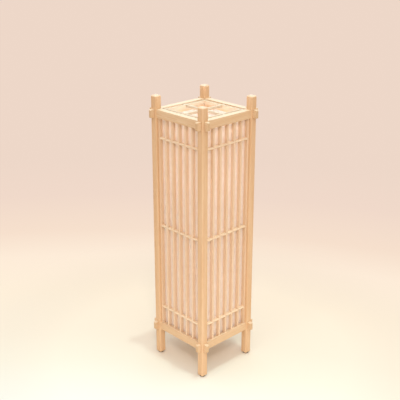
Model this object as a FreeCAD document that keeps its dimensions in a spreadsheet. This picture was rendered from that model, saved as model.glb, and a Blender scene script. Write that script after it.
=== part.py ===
import FreeCAD, Part
import os
import Sketcher

# A four-posted andon floor lamp. The front face looks along -Y and the other three faces are
# the same face turned about Z, so every face is drawn once, in front, and then turned.

doc = FreeCAD.newDocument("andon_floor_lamp")
sheet = doc.addObject("Spreadsheet::Sheet", "Sizes")

driving_dimensions = [
    ("lamp_height", 900, "floor to the top of the posts"),
    ("post_spacing", 206, "centre to centre of neighbouring posts"),
    ("post_side", 24, "side of the square post"),
    ("post_edge_chamfer", 3, "chamfer along the post's four edges"),
    ("post_end_chamfer", 3, "chamfer round the post's two ends"),
    ("glide_height", 3, "height of the glide under each post"),
    ("glide_radius", 9, "radius of the glide"),
    ("rail_height", 26, "height of the top and bottom rails"),
    ("rail_thickness", 20, "thickness of the rails"),
    ("rail_recess", 3, "post face to rail face"),
    ("top_rail_drop", 42, "post top down to the top rail's upper face"),
    ("bottom_rail_lift", 96, "floor up to the bottom rail's underside"),
    ("tenon_thickness", 12, "thickness of the tenon that passes through the post"),
    ("stub_length", 14, "length of tenon that stands out of the post"),
    ("stub_chamfer", 2.5, "chamfer round the tenon's end"),
    ("slat_count", 5, "slats between the two stiles of a face"),
    ("slat_width", 6, "width of a slat or stile"),
    ("slat_depth", 12, "depth of slats, stiles and bars"),
    ("slat_recess", 9, "post face to the lattice's front"),
    ("groove_depth", 4, "depth of the rail's groove that holds the lattice"),
    ("bar_height", 6, "height of a horizontal lattice bar"),
    ("upper_bar_drop", 64, "top rail's underside down to the middle of the upper bar"),
    ("lower_bar_lift", 60, "bottom rail's upper face up to the middle of the lower bar"),
    ("paper_thickness", 0.4, "thickness of the paper behind the lattice"),
    ("lid_clearance", 0.5, "gap between the lid and the posts"),
    ("lid_drop", 1, "rail's upper face down to the lid's"),
    ("lid_bar_width", 8, "width of a lid bar"),
    ("lid_bar_height", 8, "height of a lid bar"),
    ("lid_edge_inset", 10.5, "lid's outline to the middle of its edge bar"),
    ("ledge_width", 6, "width of the ledge that carries the lid"),
    ("ledge_height", 8, "height of that ledge"),
    ("batten_width", 10, "width of the batten under the base board"),
    ("batten_height", 10, "height of that batten"),
    ("base_thickness", 9, "thickness of the base board"),
    ("base_clearance", 0.5, "gap between the base board and the posts"),
    ("screw_head_radius", 3.5, "radius of a screw's head"),
    ("screw_head_height", 2, "height of a screw's head"),
    ("screw_slot_width", 1, "width of the slot in a screw's head"),
    ("screw_slot_depth", 1.1, "depth of that slot"),
    ("screw_radius", 1.75, "radius of a screw's shank"),
    ("base_screw_length", 16, "shank of a screw that holds the base board"),
    ("base_screw_spacing", 120, "distance between the two screws in a batten"),
    ("holder_screw_length", 13, "shank of a screw that holds the lampholder"),
    ("holder_screw_offset", 25.5, "lamp's axis to a lampholder screw"),
    ("holder_flange_radius", 31, "radius of the lampholder's flange"),
    ("holder_flange_height", 6, "height of that flange"),
    ("holder_radius", 20, "radius of the lampholder's body"),
    ("holder_height", 42, "height of the lampholder"),
    ("holder_floor", 12, "thickness of the lampholder's floor"),
    ("shell_radius", 13.5, "inner radius of the lampholder's screw shell"),
    ("shell_wall", 0.5, "wall of that shell"),
    ("shell_length", 26, "length of that shell"),
    ("contact_radius", 4, "radius of the lampholder's centre contact"),
    ("contact_height", 3, "height of that contact"),
    ("tip_radius", 4.5, "radius of the bulb's tip contact"),
    ("tip_height", 2, "height of that contact"),
    ("insulator_height", 3, "height of the insulator above the tip"),
    ("cap_radius", 13.1, "radius of the bulb's screw cap"),
    ("cap_length", 23, "length of that cap"),
    ("neck_low_radius", 14.5, "bulb's plastic neck, radius at the cap"),
    ("neck_high_radius", 18, "bulb's plastic neck, radius at the globe"),
    ("neck_height", 20, "height of that neck"),
    ("globe_radius", 30, "radius of the bulb's globe"),
    ("globe_shoulder", 18, "globe's centre down to where its cone begins"),
    ("globe_cone_height", 14, "height of the cone below the globe"),
    ("globe_wall", 1, "wall of the globe"),
    ("grommet_inset", 32.5, "base board's back edge to the middle of the cord hole"),
    ("grommet_waist_radius", 7, "radius of the cord grommet in the base board"),
    ("grommet_flange_radius", 10, "radius of the grommet's two flanges"),
    ("grommet_flange_height", 2, "height of each flange"),
    ("cord_hole_radius", 3.6, "radius of the hole through the grommet"),
]
for row, (alias, value, meaning) in enumerate(driving_dimensions, start=1):
    sheet.set(f"A{row}", meaning)
    sheet.set(f"B{row}", str(value))
    sheet.setAlias(f"B{row}", alias)
doc.recompute()

# Places and sizes that follow from the driving dimensions.
clear_width = "(Sizes.post_spacing - Sizes.post_side)"
clear_half = f"({clear_width} / 2)"
post_centre = "(Sizes.post_spacing / 2)"
post_face = "((Sizes.post_spacing + Sizes.post_side) / 2)"
rail_face = f"({post_face} - Sizes.rail_recess)"
rail_inside = f"({rail_face} - Sizes.rail_thickness)"
rail_middle = f"({rail_face} - Sizes.rail_thickness / 2)"
tenon_span = "(Sizes.post_spacing + Sizes.post_side + 2 * Sizes.stub_length)"
top_rail_top = "(Sizes.lamp_height - Sizes.top_rail_drop)"
top_rail_foot = f"({top_rail_top} - Sizes.rail_height)"
bottom_rail_top = "(Sizes.bottom_rail_lift + Sizes.rail_height)"
lattice_front = f"({post_face} - Sizes.slat_recess)"
lattice_back = f"({lattice_front} - Sizes.slat_depth)"
paper_back = f"({lattice_back} - Sizes.paper_thickness)"
slat_foot = f"({bottom_rail_top} - Sizes.groove_depth)"
slat_length = f"({top_rail_foot} - {bottom_rail_top} + 2 * Sizes.groove_depth)"
slat_pitch = f"(({clear_width} - Sizes.slat_width) / (Sizes.slat_count + 1))"
upper_bar_middle = f"({top_rail_foot} - Sizes.upper_bar_drop)"
lower_bar_middle = f"({bottom_rail_top} + Sizes.lower_bar_lift)"
bar_middles = {
    "upper": upper_bar_middle,
    "middle": f"(({upper_bar_middle} + {lower_bar_middle}) / 2)",
    "lower": lower_bar_middle,
}
rail_levels = {
    "top": f"({top_rail_top} - Sizes.rail_height / 2)",
    "bottom": "(Sizes.bottom_rail_lift + Sizes.rail_height / 2)",
}
lid_half = f"({clear_half} - Sizes.lid_clearance)"
lid_foot = f"({top_rail_top} - Sizes.lid_drop - Sizes.lid_bar_height)"
lid_edge = f"({lid_half} - Sizes.lid_edge_inset)"
base_foot = "(Sizes.bottom_rail_lift + Sizes.batten_height)"
base_top = f"({base_foot} + Sizes.base_thickness)"
base_half = f"({clear_half} - Sizes.base_clearance)"
grommet_middle = f"({base_half} - Sizes.grommet_inset)"
batten_middle = f"({rail_inside} - Sizes.batten_width / 2)"
holder_seat = f"({base_top} + Sizes.holder_flange_height)"
well_floor = f"({base_top} + Sizes.holder_floor)"
tip_foot = f"({well_floor} + Sizes.contact_height)"
insulator_foot = f"({tip_foot} + Sizes.tip_height)"
cap_foot = f"({insulator_foot} + Sizes.insulator_height)"
neck_foot = f"({cap_foot} + Sizes.cap_length)"
cone_foot = f"({neck_foot} + Sizes.neck_height)"
globe_middle = f"({cone_foot} + Sizes.globe_cone_height + Sizes.globe_shoulder)"

face_turns = {"front": 0, "right": 90, "back": 180, "left": 270}
post_turns = {"front_left": 0, "front_right": 90, "back_right": 180, "back_left": 270}
z_axis = FreeCAD.Vector(0, 0, 1)
same_place = 1e-6
sub_parts = []


def bind(target, **expressions):
    for name, expression in expressions.items():
        target.setExpression(name, expression)


def place(target, x, y, z):
    target.setExpression("Placement.Base.x", x)
    target.setExpression("Placement.Base.y", y)
    target.setExpression("Placement.Base.z", z)


def turned(angle):
    return FreeCAD.Placement(FreeCAD.Vector(), FreeCAD.Rotation(z_axis, angle))


def keep(target, label):
    target.Label = label
    sub_parts.append(target)
    return target


def box(name, x, y, z, length, width, height):
    block = doc.addObject("Part::Box", name)
    place(block, x, y, z)
    bind(block, Length=length, Width=width, Height=height)
    return block


def cylinder(name, x, y, z, radius, height):
    rod = doc.addObject("Part::Cylinder", name)
    place(rod, x, y, z)
    bind(rod, Radius=radius, Height=height)
    return rod


def cone(name, z, low_radius, high_radius, height):
    frustum = doc.addObject("Part::Cone", name)
    place(frustum, "0", "0", z)
    bind(frustum, Radius1=low_radius, Radius2=high_radius, Height=height)
    return frustum


def group(name, pieces):
    compound = doc.addObject("Part::Compound", name)
    compound.Links = pieces
    return compound


def fuse(name, pieces):
    union = doc.addObject("Part::MultiFuse", name)
    union.Shapes = pieces
    return union


def cut(name, base, tool):
    difference = doc.addObject("Part::Cut", name)
    difference.Base = base
    difference.Tool = tool
    return difference


def new_body(name):
    return doc.addObject("PartDesign::Body", name)


def rectangle_sketch(body, name, plane_role, across, up, width, height):
    """A rectangle round the point (across, up) of one of the body's origin planes."""
    sketch = body.newObject("Sketcher::SketchObject", name)
    plane = next(item for item in body.Origin.OriginFeatures if item.Role == plane_role)
    sketch.AttachmentSupport = (plane, [""])
    sketch.MapMode = "FlatFace"
    sketch.setExpression("AttachmentOffset.Base.x", across)
    sketch.setExpression("AttachmentOffset.Base.y", up)
    drawn_half = 5
    corners = [
        FreeCAD.Vector(x_sign * drawn_half, y_sign * drawn_half, 0)
        for x_sign, y_sign in ((-1, -1), (1, -1), (1, 1), (-1, 1))
    ]
    for index, corner in enumerate(corners):
        sketch.addGeometry(Part.LineSegment(corner, corners[(index + 1) % 4]), False)
    for index in range(4):
        sketch.addConstraint(Sketcher.Constraint("Coincident", index, 2, (index + 1) % 4, 1))
    for index, direction in enumerate(("Horizontal", "Vertical", "Horizontal", "Vertical")):
        sketch.addConstraint(Sketcher.Constraint(direction, index))
    sketch.addConstraint(Sketcher.Constraint("Symmetric", 0, 1, 2, 1, -1, 1))
    width_constraint = sketch.addConstraint(
        Sketcher.Constraint("DistanceX", 0, 1, 0, 2, 2 * drawn_half))
    sketch.renameConstraint(width_constraint, "width")
    height_constraint = sketch.addConstraint(
        Sketcher.Constraint("DistanceY", 1, 1, 1, 2, 2 * drawn_half))
    sketch.renameConstraint(height_constraint, "height")
    sketch.setExpression("Constraints.width", width)
    sketch.setExpression("Constraints.height", height)
    return sketch


def pad_both_ways(body, name, sketch, length):
    pad = body.newObject("PartDesign::Pad", name)
    pad.Profile = sketch
    pad.Midplane = True
    bind(pad, Length=length)
    return pad


def pocket_both_ways(body, name, sketch, length=None):
    pocket = body.newObject("PartDesign::Pocket", name)
    pocket.Profile = sketch
    pocket.Midplane = True
    if length:
        bind(pocket, Length=length)
    else:
        pocket.Type = "ThroughAll"
    return pocket


def chamfer_edges(body, name, base, is_wanted, size):
    doc.recompute()
    numbered_edges = enumerate(base.Shape.Edges, start=1)
    chosen = [f"Edge{number}" for number, edge in numbered_edges if is_wanted(edge)]
    chamfer = body.newObject("PartDesign::Chamfer", name)
    chamfer.Base = (base, chosen)
    bind(chamfer, Size=size)
    body.Tip = chamfer
    return chamfer


def make_post(place_name, angle):
    """A square post with chamfered edges and ends, mortised both ways for the rails' tenons."""
    name = f"post_{place_name}"
    body = new_body(name)
    centre = f"-{post_centre}"
    outline = rectangle_sketch(body, f"{name}_outline", "XY_Plane", centre, centre,
                               "Sizes.post_side", "Sizes.post_side")
    outline.setExpression("AttachmentOffset.Base.z", "Sizes.glide_height")
    shaft = body.newObject("PartDesign::Pad", f"{name}_shaft")
    shaft.Profile = outline
    bind(shaft, Length="Sizes.lamp_height - Sizes.glide_height")
    doc.recompute()
    ends = (shaft.Shape.BoundBox.ZMin, shaft.Shape.BoundBox.ZMax)

    def runs_upright(edge):
        return edge.BoundBox.ZLength > edge.BoundBox.XLength + edge.BoundBox.YLength

    def lies_in_an_end(edge):
        nearest = min(abs(edge.BoundBox.ZMin - end) for end in ends)
        return edge.BoundBox.ZLength < same_place and nearest < same_place

    edged = chamfer_edges(body, f"{name}_edges", shaft, runs_upright, "Sizes.post_edge_chamfer")
    chamfer_edges(body, f"{name}_ends", edged, lies_in_an_end, "Sizes.post_end_chamfer")
    for level_name, level in rail_levels.items():
        for plane_role in ("XZ_Plane", "YZ_Plane"):
            mortise_name = f"{name}_{level_name}_mortise_{plane_role[:2].lower()}"
            mortise = rectangle_sketch(body, f"{mortise_name}_sketch", plane_role, centre, level,
                                       "Sizes.tenon_thickness", "Sizes.rail_height")
            pocket_both_ways(body, mortise_name, mortise)
    body.Placement = turned(angle)
    keep(body, name)


def make_rail(level_name, face_name, angle, lap_sign, groove_sign):
    """A rail, its through tenons halved where they cross inside the post, and the lattice groove."""
    name = f"{level_name}_rail_{face_name}"
    level = rail_levels[level_name]
    body = new_body(name)
    beam = rectangle_sketch(body, f"{name}_section", "YZ_Plane", f"-{rail_middle}", level,
                            "Sizes.rail_thickness", "Sizes.rail_height")
    pad_both_ways(body, f"{name}_beam", beam, clear_width)
    tenon = rectangle_sketch(body, f"{name}_tenon_section", "YZ_Plane", f"-{post_centre}", level,
                             "Sizes.tenon_thickness", "Sizes.rail_height")
    tenons = pad_both_ways(body, f"{name}_tenons", tenon, tenon_span)
    doc.recompute()
    ends = (tenons.Shape.BoundBox.XMin, tenons.Shape.BoundBox.XMax)

    def lies_in_an_end(edge):
        nearest = min(abs(edge.BoundBox.XMin - end) for end in ends)
        return edge.BoundBox.XLength < same_place and nearest < same_place

    chamfer_edges(body, f"{name}_ends", tenons, lies_in_an_end, "Sizes.stub_chamfer")
    groove = rectangle_sketch(body, f"{name}_groove_section", "YZ_Plane",
                              f"-({lattice_front} + {paper_back}) / 2",
                              f"{level} + {groove_sign} * (Sizes.rail_height - Sizes.groove_depth) / 2",
                              "Sizes.slat_depth + Sizes.paper_thickness", "Sizes.groove_depth")
    pocket_both_ways(body, f"{name}_groove", groove, clear_width)
    for side_name, side_sign in (("low_x", -1), ("high_x", 1)):
        lap = rectangle_sketch(body, f"{name}_lap_{side_name}_sketch", "XZ_Plane",
                               f"{side_sign} * {post_centre}",
                               f"{level} + {lap_sign} * Sizes.rail_height / 4",
                               "Sizes.tenon_thickness", "Sizes.rail_height / 2")
        pocket_both_ways(body, f"{name}_lap_{side_name}", lap)
    body.Placement = turned(angle)
    keep(body, name)


def make_frame():
    for place_name, angle in post_turns.items():
        make_post(place_name, angle)
    for face_index, (face_name, angle) in enumerate(face_turns.items()):
        lap_sign = 1 if face_index % 2 == 0 else -1
        make_rail("top", face_name, angle, lap_sign, -1)
        make_rail("bottom", face_name, angle, lap_sign, 1)
    glides = []
    for place_name, angle in post_turns.items():
        x_sign = "-" if place_name.endswith("left") else ""
        y_sign = "-" if place_name.startswith("front") else ""
        glides.append(cylinder(f"glide_{place_name}", f"{x_sign}{post_centre}",
                               f"{y_sign}{post_centre}", "0",
                               "Sizes.glide_radius", "Sizes.glide_height"))
    keep(group("foot_glides_group", glides), "foot_glides")


def make_lattice():
    """Slats and bars halved into each other, flush in front, with one sheet of paper behind."""
    slat_total = int(sheet.get("slat_count")) + 2
    half_depth = "(Sizes.slat_depth / 2)"
    blanks = []
    slat_fronts = []
    for index in range(slat_total):
        left = f"-{clear_half} + {index} * {slat_pitch}"
        blanks.append(box(f"upright_blank_{index}", left, f"-{lattice_front}", slat_foot,
                          "Sizes.slat_width", "Sizes.slat_depth", slat_length))
        slat_fronts.append(box(f"upright_front_half_{index}", left, f"-{lattice_front}", slat_foot,
                               "Sizes.slat_width", half_depth, slat_length))
    bar_blanks = {}
    bar_backs = []
    for bar_name, middle in bar_middles.items():
        foot = f"{middle} - Sizes.bar_height / 2"
        bar_blanks[bar_name] = box(f"{bar_name}_bar_blank", f"-{clear_half}",
                                   f"-{lattice_front}", foot,
                                   clear_width, "Sizes.slat_depth", "Sizes.bar_height")
        bar_backs.append(box(f"{bar_name}_bar_back_half", f"-{clear_half}",
                             f"-{lattice_front} + {half_depth}", foot,
                             clear_width, half_depth, "Sizes.bar_height"))
    stile_blanks = group("stile_blanks", [blanks[0], blanks[-1]])
    slat_blanks = group("slat_blanks", blanks[1:-1])
    slat_notches = group("upright_notches", bar_backs)
    bar_notches = group("bar_notches", slat_fronts)
    sheet_blank = box("paper_blank", f"-{clear_half}", f"-{lattice_back}", slat_foot,
                      clear_width, "Sizes.paper_thickness", slat_length)
    for face_name, angle in face_turns.items():
        pieces = {
            f"stiles_{face_name}": cut(f"stiles_{face_name}_cut", stile_blanks, slat_notches),
            f"slats_{face_name}": cut(f"slats_{face_name}_cut", slat_blanks, slat_notches),
            f"paper_{face_name}": group(f"paper_{face_name}_group", [sheet_blank]),
        }
        for bar_name, blank in bar_blanks.items():
            label = f"{bar_name}_bar_{face_name}"
            pieces[label] = cut(f"{label}_cut", blank, bar_notches)
        for label, piece in pieces.items():
            piece.Placement = turned(angle)
            keep(piece, label)


def make_lid():
    """Three bars each way, halved into each other, on a ledge inside the top rails."""
    full = f"(2 * {lid_half})"
    half_height = "(Sizes.lid_bar_height / 2)"
    half_width = "(Sizes.lid_bar_width / 2)"
    middles = {"edge": f"-{lid_edge}", "middle": "0", "far_edge": lid_edge}
    lower_halves = group("lid_lower_halves", [
        box(f"lid_lower_{name}", f"{middle} - {half_width}", f"-{lid_half}", lid_foot,
            "Sizes.lid_bar_width", full, half_height)
        for name, middle in middles.items()])
    upper_halves = group("lid_upper_halves", [
        box(f"lid_upper_{name}", f"-{lid_half}", f"{middle} - {half_width}",
            f"{lid_foot} + {half_height}",
            full, "Sizes.lid_bar_width", half_height)
        for name, middle in middles.items()])

    def bar_along_x(name, middle):
        return box(name, f"-{lid_half}", f"{middle} - {half_width}", lid_foot,
                   full, "Sizes.lid_bar_width", "Sizes.lid_bar_height")

    def bar_along_y(name, middle):
        return box(name, f"{middle} - {half_width}", f"-{lid_half}", lid_foot,
                   "Sizes.lid_bar_width", full, "Sizes.lid_bar_height")

    for label, key in (("front", "edge"), ("across", "middle"), ("back", "far_edge")):
        bar = bar_along_x(f"lid_bar_{label}_blank", middles[key])
        keep(cut(f"lid_bar_{label}_cut", bar, lower_halves), f"lid_bar_{label}")
    for label, key in (("left", "edge"), ("along", "middle"), ("right", "far_edge")):
        bar = bar_along_y(f"lid_bar_{label}_blank", middles[key])
        keep(cut(f"lid_bar_{label}_cut", bar, upper_halves), f"lid_bar_{label}")
    ledge_foot = f"{lid_foot} - Sizes.ledge_height"
    ledge_inside = f"({rail_inside} - Sizes.ledge_width)"
    ledges = [
        box("ledge_front", f"-{clear_half}", f"-{rail_inside}", ledge_foot,
            clear_width, "Sizes.ledge_width", "Sizes.ledge_height"),
        box("ledge_back", f"-{clear_half}", ledge_inside, ledge_foot,
            clear_width, "Sizes.ledge_width", "Sizes.ledge_height"),
        box("ledge_left", f"-{rail_inside}", f"-{ledge_inside}", ledge_foot,
            "Sizes.ledge_width", f"2 * {ledge_inside}", "Sizes.ledge_height"),
        box("ledge_right", ledge_inside, f"-{ledge_inside}", ledge_foot,
            "Sizes.ledge_width", f"2 * {ledge_inside}", "Sizes.ledge_height"),
    ]
    keep(group("lid_ledges_group", ledges), "lid_ledges")


def screw(name, x, y, seat, length):
    """A slotted round-headed screw, head down on the height of its seat."""
    shank = cylinder(f"{name}_shank", x, y, f"{seat} - {length}", "Sizes.screw_radius", length)
    head = cylinder(f"{name}_head", x, y, seat, "Sizes.screw_head_radius", "Sizes.screw_head_height")
    slot = box(f"{name}_slot", f"{x} - Sizes.screw_head_radius", f"{y} - Sizes.screw_slot_width / 2",
               f"{seat} + Sizes.screw_head_height - Sizes.screw_slot_depth",
               "2 * Sizes.screw_head_radius", "Sizes.screw_slot_width", "Sizes.screw_slot_depth")
    return cut(name, fuse(f"{name}_solid", [shank, head]), slot)


def make_base():
    """A board screwed to two battens inside the bottom rails, bored for the lampholder and the cord."""
    base_screws = []
    base_holes = []
    for y_sign in ("-", ""):
        for x_sign in ("-", ""):
            x = f"{x_sign}Sizes.base_screw_spacing / 2"
            y = f"{y_sign}{batten_middle}"
            number = len(base_screws) + 1
            base_screws.append(screw(f"base_screw_{number}", x, y, base_top,
                                     "Sizes.base_screw_length"))
            base_holes.append(cylinder(f"base_screw_hole_{number}", x, y,
                                       f"{base_top} - Sizes.base_screw_length",
                                       "Sizes.screw_radius", "Sizes.base_screw_length"))
    screw_holes = group("base_screw_holes", base_holes)
    board = box("base_blank", f"-{base_half}", f"-{base_half}", base_foot,
                f"2 * {base_half}", f"2 * {base_half}", "Sizes.base_thickness")
    grommet_hole = cylinder("grommet_hole", "0", grommet_middle, base_foot,
                            "Sizes.grommet_waist_radius", "Sizes.base_thickness")
    board_holes = group("board_holes", base_holes + make_holder_holes("board") + [grommet_hole])
    keep(cut("base_board_cut", board, board_holes), "base_board")
    for name, low_y in (("front", f"-{rail_inside}"), ("back", f"{rail_inside} - Sizes.batten_width")):
        blank = box(f"batten_{name}_blank", f"-{clear_half}", low_y, "Sizes.bottom_rail_lift",
                    clear_width, "Sizes.batten_width", "Sizes.batten_height")
        keep(cut(f"batten_{name}_cut", blank, screw_holes), f"base_batten_{name}")
    keep(group("base_screws_group", base_screws), "base_screws")


def make_grommet():
    """The cord's way in: a waist in the base board between two flanges, bored through."""
    height = "(Sizes.base_thickness + 2 * Sizes.grommet_flange_height)"
    foot = f"({base_foot} - Sizes.grommet_flange_height)"
    waist = cylinder("grommet_waist", "0", grommet_middle, foot,
                     "Sizes.grommet_waist_radius", height)
    low_flange = cylinder("grommet_low_flange", "0", grommet_middle, foot,
                          "Sizes.grommet_flange_radius", "Sizes.grommet_flange_height")
    high_flange = cylinder("grommet_high_flange", "0", grommet_middle, base_top,
                           "Sizes.grommet_flange_radius", "Sizes.grommet_flange_height")
    cord_hole = cylinder("cord_hole", "0", grommet_middle, foot,
                         "Sizes.cord_hole_radius", height)
    solid = fuse("grommet_solid", [waist, low_flange, high_flange])
    keep(cut("grommet_cut", solid, cord_hole), "cord_grommet")


def make_holder_holes(owner):
    """The holes of the lampholder's two screws."""
    return [
        cylinder(f"{owner}_holder_screw_hole_{number}", f"{sign}Sizes.holder_screw_offset", "0",
                 f"{holder_seat} - Sizes.holder_screw_length",
                 "Sizes.screw_radius", "Sizes.holder_screw_length")
        for number, sign in ((1, "-"), (2, ""))
    ]


def make_lampholder():
    """A screwed-down lampholder with its metal shell, centre contact and two screws."""
    flange = cylinder("holder_flange", "0", "0", base_top,
                      "Sizes.holder_flange_radius", "Sizes.holder_flange_height")
    barrel = cylinder("holder_barrel", "0", "0", base_top,
                      "Sizes.holder_radius", "Sizes.holder_height")
    well = cylinder("holder_well", "0", "0", well_floor, "Sizes.shell_radius + Sizes.shell_wall",
                    "Sizes.holder_height - Sizes.holder_floor")
    openings = group("holder_openings", [well] + make_holder_holes("body"))
    keep(cut("holder_body_cut", fuse("holder_solid", [flange, barrel]), openings), "lampholder_body")
    shell_outside = cylinder("shell_outside", "0", "0", well_floor,
                             "Sizes.shell_radius + Sizes.shell_wall", "Sizes.shell_length")
    shell_inside = cylinder("shell_inside", "0", "0", well_floor,
                            "Sizes.shell_radius", "Sizes.shell_length")
    keep(cut("shell_cut", shell_outside, shell_inside), "lampholder_shell")
    keep(cylinder("contact", "0", "0", well_floor, "Sizes.contact_radius", "Sizes.contact_height"),
         "lampholder_contact")
    screws = [
        screw(f"holder_screw_{number}", f"{sign}Sizes.holder_screw_offset", "0", holder_seat,
              "Sizes.holder_screw_length")
        for number, sign in ((1, "-"), (2, ""))
    ]
    keep(group("holder_screws_group", screws), "lampholder_screws")


def make_bulb():
    """A screw-cap bulb: tip, insulator, cap, neck and a hollow globe."""
    keep(cylinder("tip", "0", "0", tip_foot, "Sizes.tip_radius", "Sizes.tip_height"), "bulb_tip")
    insulator = cone("insulator", insulator_foot, "Sizes.tip_radius", "Sizes.cap_radius",
                     "Sizes.insulator_height")
    keep(insulator, "bulb_insulator")
    keep(cylinder("cap", "0", "0", cap_foot, "Sizes.cap_radius", "Sizes.cap_length"), "bulb_cap")
    neck = cone("neck", neck_foot, "Sizes.neck_low_radius", "Sizes.neck_high_radius",
                "Sizes.neck_height")
    keep(neck, "bulb_neck")
    solids = []
    for name, wall in (("outer", "0"), ("inner", "Sizes.globe_wall")):
        ball = doc.addObject("Part::Sphere", f"{name}_ball")
        place(ball, "0", "0", globe_middle)
        bind(ball, Radius=f"Sizes.globe_radius - {wall}")
        shoulder = f"sqrt(pow(Sizes.globe_radius; 2) - pow(Sizes.globe_shoulder; 2)) - {wall}"
        skirt = cone(f"{name}_skirt", cone_foot, f"Sizes.neck_high_radius - {wall}", shoulder,
                     "Sizes.globe_cone_height")
        solids.append(fuse(f"{name}_globe", [ball, skirt]))
    keep(cut("globe_cut", *solids), "bulb_globe")


def check_and_write():
    doc.recompute()
    for item in doc.Objects:
        if {"Invalid", "Error"} & set(item.State):
            raise RuntimeError(f"{item.Name} didn't recompute: {item.State}")
    for sub_part in sub_parts:
        if sub_part.Shape.isNull() or not sub_part.Shape.isValid():
            raise RuntimeError(f"{sub_part.Label} has no valid shape")
    os.makedirs("parts", exist_ok=True)
    for sub_part in sub_parts:
        sub_part.Shape.exportStep(f"parts/{sub_part.Label}.step")
        print(sub_part.Label, len(sub_part.Shape.Solids), round(sub_part.Shape.Volume, 1))


make_frame()
make_lattice()
make_lid()
make_base()
make_grommet()
make_lampholder()
make_bulb()
check_and_write()
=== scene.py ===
import math
import random

import bmesh
import bpy
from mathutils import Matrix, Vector


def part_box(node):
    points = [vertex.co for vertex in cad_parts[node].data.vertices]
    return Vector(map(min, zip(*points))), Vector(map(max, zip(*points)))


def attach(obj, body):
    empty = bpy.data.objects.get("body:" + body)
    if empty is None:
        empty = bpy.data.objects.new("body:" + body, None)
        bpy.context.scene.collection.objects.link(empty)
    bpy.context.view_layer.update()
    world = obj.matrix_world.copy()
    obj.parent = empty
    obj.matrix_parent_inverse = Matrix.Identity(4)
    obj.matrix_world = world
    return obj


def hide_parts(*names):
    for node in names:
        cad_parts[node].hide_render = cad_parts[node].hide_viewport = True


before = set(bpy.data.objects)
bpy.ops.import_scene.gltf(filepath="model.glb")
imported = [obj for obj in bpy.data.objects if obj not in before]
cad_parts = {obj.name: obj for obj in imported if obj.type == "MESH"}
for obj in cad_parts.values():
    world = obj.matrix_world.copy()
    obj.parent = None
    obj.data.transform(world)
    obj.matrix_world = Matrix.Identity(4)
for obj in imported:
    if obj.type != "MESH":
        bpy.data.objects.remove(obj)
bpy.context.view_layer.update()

boards = random.Random(21)  # each board's place in its tree, and its tone
near = 0.0001   # two places this close are the same place
spare = 0.001   # cutters reach this far past the wood
print("frame loaded:", len(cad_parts), "nodes")


# small helpers for modelling

def deselectAll():
    if bpy.context.object and bpy.context.object.mode != "OBJECT":
        bpy.ops.object.mode_set(mode="OBJECT")
    bpy.ops.object.select_all(action="DESELECT")


def pickOnly(piece):
    deselectAll()
    piece.select_set(True)
    bpy.context.view_layer.objects.active = piece


def addBlock(name, low, high):
    # a cube at its size and place, with the object left at the origin
    deselectAll()
    low, high = Vector(low), Vector(high)
    bpy.ops.mesh.primitive_cube_add(size=1, location=(low + high) / 2, scale=high - low)
    bpy.ops.object.transform_apply(location=True, rotation=True, scale=True)
    block = bpy.context.object
    block.name = block.data.name = name
    return block


def editEdges(piece, wanted):
    # opens the piece with only the edges chosen whose two ends pass the test
    pickOnly(piece)
    bpy.ops.object.mode_set(mode="EDIT")
    bpy.ops.mesh.select_mode(type="EDGE")
    bpy.ops.mesh.select_all(action="DESELECT")
    shape = bmesh.from_edit_mesh(piece.data)
    for edge in shape.edges:
        edge.select_set(wanted(edge.verts[0].co, edge.verts[1].co))
    bmesh.update_edit_mesh(piece.data)


def editFaces(piece, wanted):
    # the same for faces, by middle and normal
    pickOnly(piece)
    bpy.ops.object.mode_set(mode="EDIT")
    bpy.ops.mesh.select_mode(type="FACE")
    bpy.ops.mesh.select_all(action="DESELECT")
    shape = bmesh.from_edit_mesh(piece.data)
    for face in shape.faces:
        face.select_set(wanted(face.calc_center_median(), face.normal))
    bmesh.update_edit_mesh(piece.data)


def bevelChosen(width):
    bpy.ops.mesh.bevel(offset=width, segments=1, affect="EDGES")
    bpy.ops.object.mode_set(mode="OBJECT")


def bisectAt(piece, place, direction):
    pickOnly(piece)
    bpy.ops.object.mode_set(mode="EDIT")
    bpy.ops.mesh.select_all(action="SELECT")
    bpy.ops.mesh.bisect(plane_co=place, plane_no=direction)
    bpy.ops.object.mode_set(mode="OBJECT")


def applyModifier(piece, kind, **settings):
    pickOnly(piece)
    modifier = piece.modifiers.new(kind.lower(), kind)
    for setting, value in settings.items():
        setattr(modifier, setting, value)
    bpy.ops.object.modifier_apply(modifier=modifier.name)


def cutAway(piece, cutters):
    for cutter in cutters:
        applyModifier(piece, "BOOLEAN", object=cutter, operation="DIFFERENCE", solver="EXACT")
    deselectAll()
    for cutter in cutters:
        cutter.select_set(True)
    bpy.ops.object.delete()


def easeEdges(piece, width):
    # a fine rounding of two facets along every edge that is sharper than 30 degrees
    applyModifier(piece, "BEVEL", width=width, segments=2, limit_method="ANGLE",
                  angle_limit=math.radians(30))
    for face in piece.data.polygons:
        face.use_smooth = False


def joinAll(pieces, name):
    deselectAll()
    for piece in pieces:
        piece.select_set(True)
    bpy.context.view_layer.objects.active = pieces[0]
    bpy.ops.object.join()
    joined = bpy.context.object
    joined.name = joined.data.name = name
    return joined


# boards: which way the grain runs, and where in the tree each was sawn

sawing = {
    "nearestPith": 0.05,   # the tree's middle lies this far from a board, at the least
    "farthestPith": 0.16,
    "trunkLength": 4.0,
    "endFacing": 0.6,      # a face that looks this much along the grain shows end grain
}


def freshBoard():
    turn = boards.uniform(0, math.tau)
    reach = boards.uniform(sawing["nearestPith"], sawing["farthestPith"])
    alongTrunk = boards.uniform(0, sawing["trunkLength"])
    return Vector((reach * math.cos(turn), reach * math.sin(turn), alongTrunk))


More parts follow.
